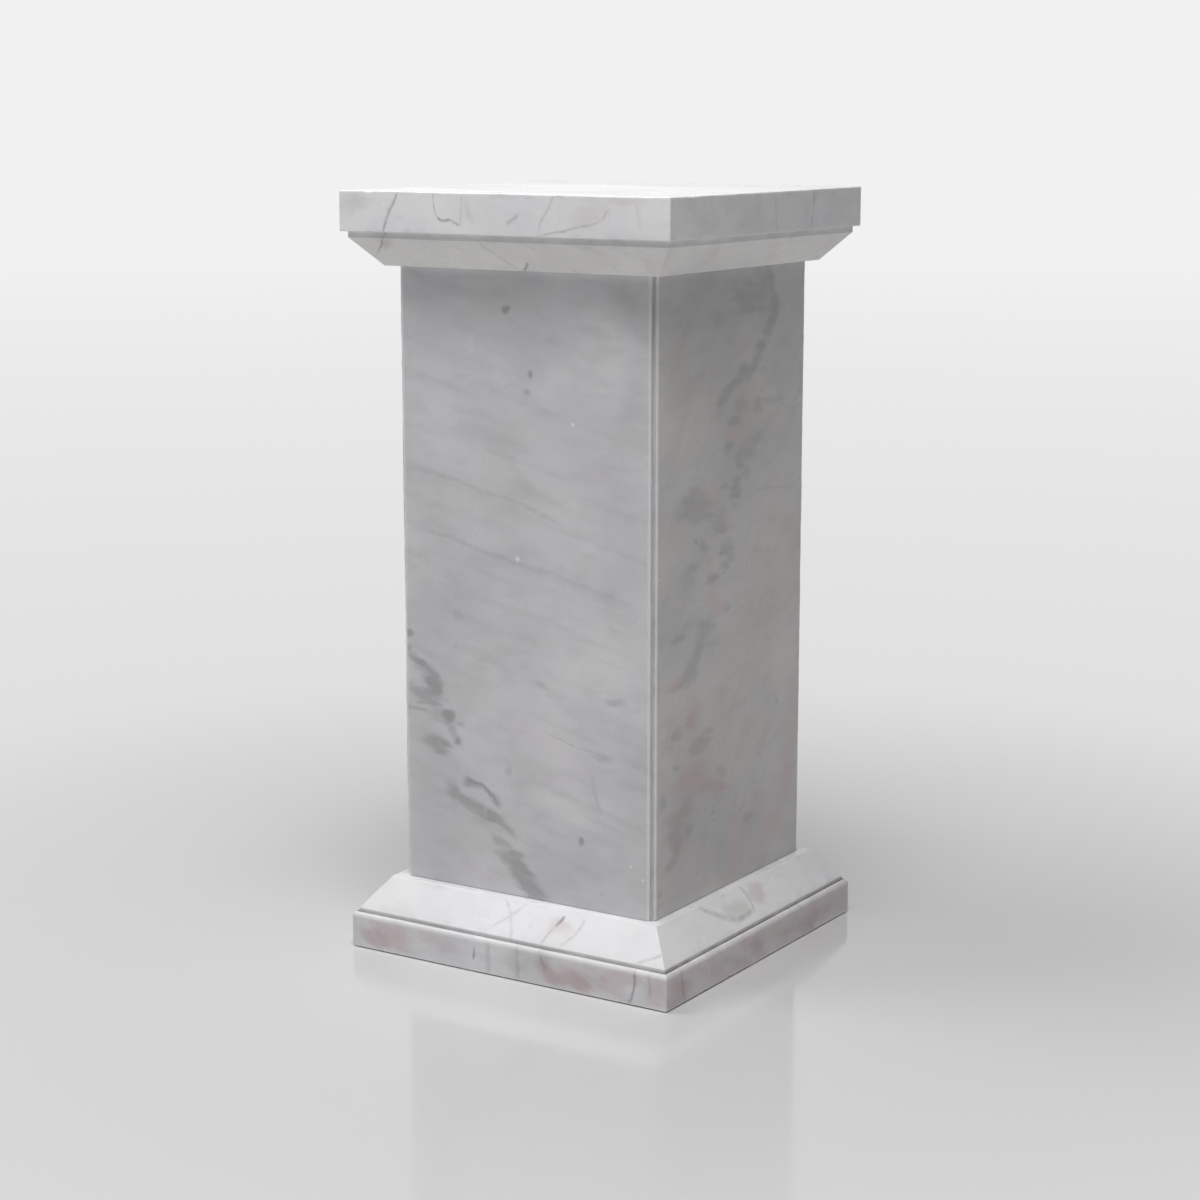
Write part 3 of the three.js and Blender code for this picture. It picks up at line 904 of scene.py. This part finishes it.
# What the cap and the base show. Places are (across, up) in millimetres from the middle of the block's
# foot, and past the cap's top edge up goes on inward over the top. A band of painted light and shade runs
# all
# round: (height, half height, and for each side its strength and ink). Any other mark starts with its side,
# 0 for the front.
CAP_MARKS = {
    "tint": (1.110, 1.105, 1.108), "grain": -20, "streaks": 0.16, "blush": 0.30,
    # Painted light and shade: the band paler on the lit front and left and darker on the shaded right and
    # back; the underside chamfer painted with warm bounce light, dimmer on the right and back
    "light_shade_and_tone_bands": [
        (57, 24, ((0.60, PAINTED_LIGHT_PALE), (0.18, SMEAR_AND_SHADE), (0.10, SMEAR_AND_SHADE), (0.30, PAINTED_LIGHT_PALE))),
        (14, 18, ((0.75, PAINTED_BOUNCE_IVORY), (0.65, PAINTED_DIM_BOUNCE_IVORY), (0.6, PAINTED_DIM_BOUNCE_IVORY), (0.6, PAINTED_BOUNCE_IVORY))),
    ],
    "lines": [
        (0, [(-112, 104), (-124, 80), (-135, 57), (-147, 32), (-164, 16), (-176, 8)], 2.2, 0.62),
        (0, [(-134, 62), (-140, 46)], 3.4, 0.5), (0, [(-79, 84), (-79, 66), (-76, 54)], 1.7, 0.48),
        (0, [(-77, 57), (-67, 50), (-61, 51), (-47, 46)], 2.2, 0.85),
        (0, [(-44, 84), (-45, 60), (-46, 44)], 2.4, 0.22), (0, [(-40, 72), (-32, 48)], 6, 0.16),
        (0, [(12, 49), (24, 57)], 3.6, 0.42),
        (0, [(70, 92), (66, 78), (56, 59), (51, 50), (46, 37)], 2.4, 0.34),
        (0, [(40, 37), (68, 41), (97, 47), (116, 51), (126, 61)], 2.0, 0.42),
        (0, [(124, 56), (128, 64)], 3.2, 0.3), (0, [(162, 70), (166, 48)], 4, 0.16),
        (0, [(-32, 31), (-16, 16), (0, 4)], 4, 0.24), (0, [(18, 8), (8, -1)], 2.6, 0.8),
        (1, [(2, 92), (6, 74), (8, 60), (13, 34)], 4, 0.24),
        (1, [(90, 96), (91, 78), (90, 56), (84, 36)], 3.6, 0.34), (1, [(-118, 62), (-112, 48)], 5, 0.12),
        (2, [(-116, 110), (-110, 78), (-96, 58), (-84, 34), (-78, 10)], 2.2, 0.5),
        (2, [(30, 74), (52, 66), (90, 58), (118, 42)], 2.2, 0.4),
        (3, [(-70, 96), (-60, 78), (-48, 52), (-50, 30), (-40, 4)], 2.4, 0.45),
        (3, [(80, 76), (96, 60), (104, 38)], 2, 0.4),
        (0, [(-20, 190), (30, 160), (90, 140), (130, 96)], 3, 0.12),
        (2, [(-60, 180), (0, 150), (50, 150), (120, 100)], 3, 0.16),
    ],
    "pinks": [
        (0, 112, 62, 26, 18, 10, 0.9), (0, 150, 76, 40, 8, 0, 0.8), (0, -150, 28, 16, 9, 0, 0.7),
        (0, 164, 8, 22, 14, 30, 0.9), (1, -184, 8, 16, 16, 0, 0.8), (1, -94, 18, 26, 14, -40, 0.9),
        (1, 44, 14, 30, 12, -30, 0.9), (1, 160, 16, 28, 14, -30, 0.8), (2, 40, 50, 60, 24, 0, 0.6),
        (3, -90, 40, 60, 24, 0, 0.6),
    ],
    "browns": [(0, -148, 24, 14, 8, 30, 0.7), (2, -90, 20, 26, 10, 20, 0.7)],
    "olives": [(0, -184, 66, 26, 16, 0, 0.8), (3, 120, 50, 50, 20, 0, 0.5)],
}
BASE_MARKS = {
    "tint": (1.165, 1.160, 1.168), "grain": -20, "streaks": 0.12, "blush": 0.70,
    # The band darker all round, partly its own brownish tone and partly painted shade, most on the right;
    # the chamfer paler all round with painted light, most on the right
    "light_shade_and_tone_bands": [
        (16, 28, ((0.24, SMEAR_AND_SHADE), (0.43, BROWN), (0.26, BROWN), (0.22, SMEAR_AND_SHADE))),
        (60, 20, ((0.7, PAINTED_LIGHT_PALE), (0.8, PAINTED_LIGHT_PALE), (0.6, PAINTED_LIGHT_PALE), (0.6, PAINTED_LIGHT_PALE))),
    ],
    "lines": [
        (0, [(-20, 76), (-8, 66), (-2, 56), (4, 44), (6, 38)], 2.6, 0.3),
        (0, [(12, 75), (-6, 62), (-24, 48)], 2.6, 0.26), (0, [(58, 69), (53, 60)], 3.0, 0.85),
        (0, [(50, 56), (42, 42)], 2.6, 0.4), (0, [(84, 70), (80, 58), (76, 52), (66, 43)], 3.0, 0.3),
        (0, [(158, 42), (174, 49), (194, 57)], 2.4, 0.42), (0, [(-38, 25), (-39, 14)], 3.0, 0.85),
        (0, [(-20, 34), (-20, 2)], 5.5, 0.34), (0, [(17, 37), (18, 2)], 4.5, 0.34),
        (0, [(45, 38), (48, 28), (53, 18)], 3.4, 0.5), (0, [(162, 38), (161, 20), (154, 0)], 2.8, 0.8),
        (0, [(179, 37), (180, 14)], 3.2, 0.4), (1, [(-171, 38), (-169, 24), (-164, 2)], 4.5, 0.55),
        (1, [(-86, 74), (-66, 64), (-44, 55), (-30, 48)], 4.5, 0.40),
        (1, [(-36, 48), (-20, 51), (0, 51)], 4.2, 0.55), (1, [(1, 50), (6, 60), (3, 75)], 4.2, 0.40),
        (2, [(-120, 76), (-104, 56), (-98, 30), (-90, 4)], 2.6, 0.5),
        (2, [(20, 74), (44, 60), (70, 52), (104, 44)], 3, 0.4),
        (3, [(-30, 76), (-12, 58), (-8, 30), (4, 2)], 2.6, 0.5),
        (3, [(90, 72), (110, 56), (118, 44)], 2.6, 0.4),
    ],
    "pinks": [
        (0, -150, 20, 40, 22, 0, 0.95), (0, -90, 26, 40, 12, -20, 0.75), (0, 80, 16, 60, 20, 0, 1.0),
        (0, 140, 22, 50, 16, 20, 0.8), (0, 188, 20, 22, 20, 0, 0.9), (0, 56, 60, 26, 14, 0, 0.6),
        (1, -184, 20, 36, 22, 0, 1.0), (1, -110, 18, 50, 14, -20, 0.9), (1, -14, 18, 44, 18, -20, 1.0),
        (1, 110, 18, 60, 18, 0, 0.95), (1, 24, 64, 24, 12, 0, 0.85), (2, -60, 20, 70, 20, 0, 0.8),
        (3, 40, 20, 80, 20, 0, 0.8),
    ],
    "browns": [
        (0, -164, 14, 34, 12, -10, 0.75), (0, 52, 24, 22, 14, -30, 1.0), (0, 86, 14, 52, 14, 10, 0.95),
        (1, -180, 16, 30, 20, 0, 0.9), (1, -60, 14, 46, 10, -16, 0.8), (1, -10, 14, 24, 14, -30, 0.9),
        (1, 104, 14, 56, 14, 0, 0.95), (2, 70, 14, 60, 12, 10, 0.8), (3, -100, 14, 60, 12, 0, 0.8),
    ],
    "olives": [
        (1, -24, 60, 34, 13, 0, 0.9), (0, 20, 18, 26, 18, 0, 0.8), (0, 110, 14, 24, 12, 0, 0.7),
        (1, -90, 20, 40, 14, 0, 0.7), (1, 48, 20, 44, 16, 0, 0.8), (1, 186, 18, 20, 20, 0, 0.7),
        (2, 60, 50, 50, 20, 0, 0.5),
    ],
}


def block_marble(name, node, marks):
    """A polished block, whose marks belong to the side that they are drawn on, as far as its corners."""
    g = Graph(name)
    lowest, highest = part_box(node)
    own = g.vector("ADD", g.place, (lowest.z * 9, 1.7, 0.4))
    colour = stone_ground(g, own, marks["tint"], marks["grain"], marks["streaks"])
    bristle = drawn_out(g, own, -24, 32, 14)
    edge = frayed(g, bristle)
    uneven = g.span(g.noise(g.vector("ADD", own, (0.4, 0.8, 0.1)), 14, 2), 0.3, 0.7, 0.65, 1.0)
    along_lines = waver(g, own)
    top = highest.z - lowest.z
    for side in range(4):
        face = g.mapping(g.place, location=(0, 0, -lowest.z), turn=(0, 0, -side * QUARTER))
        across, out, up = g.split(face)
        depth = g.math("MULTIPLY", out, -1)
        sector = g.math("SUBTRACT", depth, g.math("ABSOLUTE", across))
        near = g.span(sector, -2 * MM, 2 * MM)
        on_top = g.math("GREATER_THAN", up, top - 0.4 * MM)
        inward = g.math("MULTIPLY", g.math("SUBTRACT", highest.x, depth), on_top)
        sheet = g.node("ShaderNodeCombineXYZ")
        g.feed(sheet.inputs[0], across)
        g.feed(sheet.inputs[2], g.math("ADD", up, inward))
        soft = wandering(g, sheet.outputs[0], 3, 40)
        drawn = wandering(g, soft, 1.6, 9)
        line_across, _, line_up = g.split(drawn)

        # Bands of painted light and shade, which also carry the base band's brownish tone, each side with
        # its own strength and ink
        for height, half, inks in marks["light_shade_and_tone_bands"]:
            strength, ink = inks[side]
            run = [(-PAINTED_BAND_END, height), (PAINTED_BAND_END, height)]
            wash = line_mark(g, line_across, line_up, run, half, strength, PAINTED_BAND_CORE, edge)
            colour = marked(g, colour, g.math("MULTIPLY", wash, near), uneven, ink)

        def spread(kind):
            spots = [patch(g, soft, *spot, BLOCK_CORE, edge)
                     for spot_side, *spot in marks[kind] if spot_side == side]
            return g.math("MULTIPLY", g.most(spots), near) if spots else None

        stains = (("olives", BLOCK_OLIVE, OLIVE), ("pinks", marks["blush"], PINK),
                  ("browns", BLOCK_BROWN, BROWN))
        for kind, share, ink in stains:
            density = spread(kind)
            if density:
                colour = marked(g, colour, brushed(g, bristle, density), share, ink)
        lines = [line_mark(g, line_across, line_up, *line)
                 for line_side, *line in marks["lines"] if line_side == side]
        colour = marked(g, colour, g.most(lines), g.math("MULTIPLY", near, along_lines), LINE)
    return polished(g, colour, own)


def sawn_marble():
    """Stone as the saw leaves it: matt, with faint saw lines."""
    g = Graph("sawn_marble")
    cloud = g.noise(g.place, 12, 5, 0.6)
    colour = g.mix(g.span(cloud, 0.35, 0.7), (0.66, 0.655, 0.64, 1), (0.56, 0.555, 0.54, 1))
    kerf = g.noise(g.mapping(g.place, scale=(1, 1, 60)), 14, 2, 0.5)
    colour = g.mix(g.span(kerf, 0.45, 0.75, 0, 0.25), colour, (0.45, 0.44, 0.43, 1))
    return g.surface(colour, g.span(cloud, 0.3, 0.7, 0.7, 0.85), kerf, 0.35, 0.5)


def dowel_steel():
    """Drawn steel bar, with fine lines along its length."""
    g = Graph("dowel_steel")
    drawn = g.noise(g.mapping(g.place, scale=(1400, 1400, 12)), 1, 3, 0.6)
    colour = g.mix(g.span(drawn, 0.3, 0.7), (0.46, 0.47, 0.48, 1), (0.62, 0.63, 0.64, 1))
    return g.surface(colour, g.span(drawn, 0.3, 0.7, 0.28, 0.42), drawn, 0.2, 0.2, Metallic=1)


def felt():
    """Grey pressed felt: short matted fibres."""
    g = Graph("felt")
    tangle = g.noise(wandering(g, g.place, 1.5, 3.3), 1600, 3, 0.7)
    mottle = g.noise(g.place, 240, 3, 0.6)
    colour = g.mix(g.span(tangle, 0.3, 0.7), (0.055, 0.053, 0.05, 1), (0.12, 0.115, 0.11, 1))
    colour = g.mix(g.span(mottle, 0.4, 0.7, 0, 0.4), colour, (0.16, 0.155, 0.15, 1))
    return g.surface(colour, g.span(mottle, 0.3, 0.7, 0.88, 0.98), tangle, 0.7, 0.6, Sheen_Weight=0.4)


# The studio. The floor fades into the backdrop far from the object, and keeps its shadow close by.

BACKDROP = 0.88
FAR_FLOOR = 0.67
FLOOR_RADIUS = 14
FLOOR_ROUGHNESS = 0.10
FLOOR_IOR = 1.4
FAR_REACH = 13
FAR_BEND = 0.45
FLOOR_SEEN = 0.73
FLOOR_BOUNCE = 0.82
FADE = (0.30, 1.4)
AMBIENT = 0.07
LAMP_DISTANCE = 3.0
LAMP_HEIGHT = 0.42
# Each lamp is a square softbox: turn from the front, rise, size, power, colour
LAMPS = {
    "key": (-60, 50, 1.6, 30, (0.98, 0.99, 1.0)),
    "front": (30, 66, 1.2, 48, (1.0, 0.995, 0.99)),
    "overhead": (35, 78, 1.2, 13, (1.0, 1.0, 1.0)),
}


def seen_directly(tree):
    """1 for rays that see the backdrop: from the camera, in a reflection or through glass."""
    path = tree.nodes.new("ShaderNodeLightPath").outputs
    return most_of(tree, [path[f"Is {kind} Ray"] for kind in ("Camera", "Glossy", "Transmission")])


def build_floor():
    bpy.ops.mesh.primitive_circle_add(vertices=96, radius=FLOOR_RADIUS, fill_type="NGON")
    floor = bpy.context.object
    floor.name = "floor"
    g = Graph("floor")
    seen = seen_directly(g.tree)
    distance = g.vector("LENGTH", g.place)
    shade = g.span(seen, 0, 1, FLOOR_BOUNCE, FLOOR_SEEN, smooth=False)
    grey = g.node("ShaderNodeCombineXYZ")
    for socket in grey.inputs:
        g.feed(socket, shade)
    near = g.filled("ShaderNodeBsdfPrincipled", Base_Color=grey.outputs[0], Roughness=FLOOR_ROUGHNESS,
                    IOR=FLOOR_IOR)
    way = g.math("POWER", g.math("DIVIDE", distance, FAR_REACH, clamp=True), FAR_BEND)
    glow = g.math("MULTIPLY_ADD", way, BACKDROP - FAR_FLOOR, FAR_FLOOR)
    far = g.filled("ShaderNodeEmission", Strength=glow, Color=(1, 1, 1, 1))
    blend = g.node("ShaderNodeMixShader")
    g.feed(blend.inputs[0], g.math("MULTIPLY", g.span(distance, *FADE), seen))
    g.feed(blend.inputs[1], near.outputs[0])
    g.feed(blend.inputs[2], far.outputs[0])
    g.filled("ShaderNodeOutputMaterial", Surface=blend.outputs[0])
    floor.data.materials.append(g.material)


def build_world():
    world = bpy.data.worlds.new("studio")
    world.use_nodes = True
    bpy.context.scene.world = world
    tree = world.node_tree
    tree.nodes.clear()
    strength = tree.nodes.new("ShaderNodeMapRange")
    tree.links.new(seen_directly(tree), strength.inputs["Value"])
    strength.inputs["To Min"].default_value = AMBIENT
    strength.inputs["To Max"].default_value = BACKDROP
    light = tree.nodes.new("ShaderNodeBackground")
    light.inputs["Color"].default_value = (1, 1, 1, 1)
    tree.links.new(strength.outputs[0], light.inputs["Strength"])
    out = tree.nodes.new("ShaderNodeOutputWorld")
    tree.links.new(light.outputs[0], out.inputs["Surface"])


def build_lamps():
    target = Vector((0, 0, LAMP_HEIGHT))
    for name, (turn, rise, size, power, colour) in LAMPS.items():
        data = bpy.data.lights.new(name, "AREA")
        data.shape = "SQUARE"
        data.size = size
        data.energy = power
        data.color = colour
        turn, rise = math.radians(turn), math.radians(rise)
        flat = math.cos(rise)
        direction = Vector((flat * math.sin(turn), -flat * math.cos(turn), math.sin(rise)))
        lamp = new_piece(name, data)
        lamp.location = target + LAMP_DISTANCE * direction
        lamp.rotation_euler = direction.to_track_quat("Z", "Y").to_euler()


def build_camera():
    data = bpy.data.cameras.new("camera")
    data.lens = CAMERA_LENS
    data.sensor_width = SENSOR
    camera = new_piece("camera", data)
    camera.location = CAMERA_PLACE
    camera.rotation_euler = (math.radians(90 - CAMERA_DOWN), 0, math.radians(CAMERA_TURN))
    bpy.context.scene.camera = camera


def coat(piece, material):
    piece.data.materials.clear()
    piece.data.materials.append(material)


def dress(piece, node, material):
    coat(piece, material)
    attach(piece, "root")
    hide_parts(node)


build_camera()
build_world()
build_lamps()
build_floor()

cap_stone = block_marble("marble_cap", "cap", CAP_MARKS)
base_stone = block_marble("marble_base", "base", BASE_MARKS)
dress(build_cap(), "cap", cap_stone)
dress(build_base(), "base", base_stone)
for side in range(4):
    slab, node = build_slab(side)
    dress(slab, node, slab_marble(side))
felt_material = felt()
for corner in ("front_right", "back_right", "back_left", "front_left"):
    pad, node = build_pad(corner)
    dress(pad, node, felt_material)

block_material, bar_material = sawn_marble(), dowel_steel()
for name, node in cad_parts.items():
    if name.startswith("corner_block"):
        coat(node, block_material)
    if name.startswith("dowel"):
        coat(node, bar_material)

bpy.context.scene.view_settings.view_transform = "Standard"
